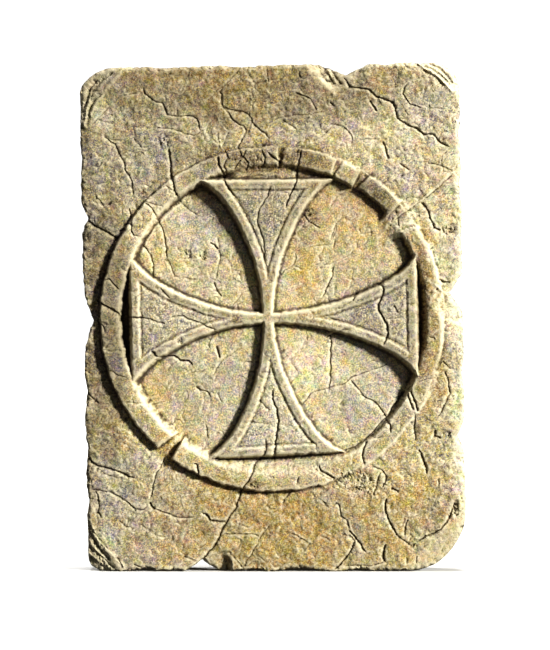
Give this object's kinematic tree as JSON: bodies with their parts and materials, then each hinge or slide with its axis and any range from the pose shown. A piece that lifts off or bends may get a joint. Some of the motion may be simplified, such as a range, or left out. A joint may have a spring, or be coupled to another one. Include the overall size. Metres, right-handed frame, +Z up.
{
  "type": "relief wall tile",
  "caption": "Rectangular stone wall tile carved with a flared cross in a raised ring, with a flat back and worn, chipped edges.",
  "frame": {"origin": "middle of the flat back face", "axes": "+Y out of the back, so the carving faces -Y; +Z up along the tile's height; +X to the right seen from the front"},
  "size_m": [0.1526, 0.0244, 0.2],
  "materials": {
    "stone": "rough weathered buff stone with grey patches"
  },
  "bodies": {
    "root": {"cross_tile": "stone"}
  },
  "joints": []
}
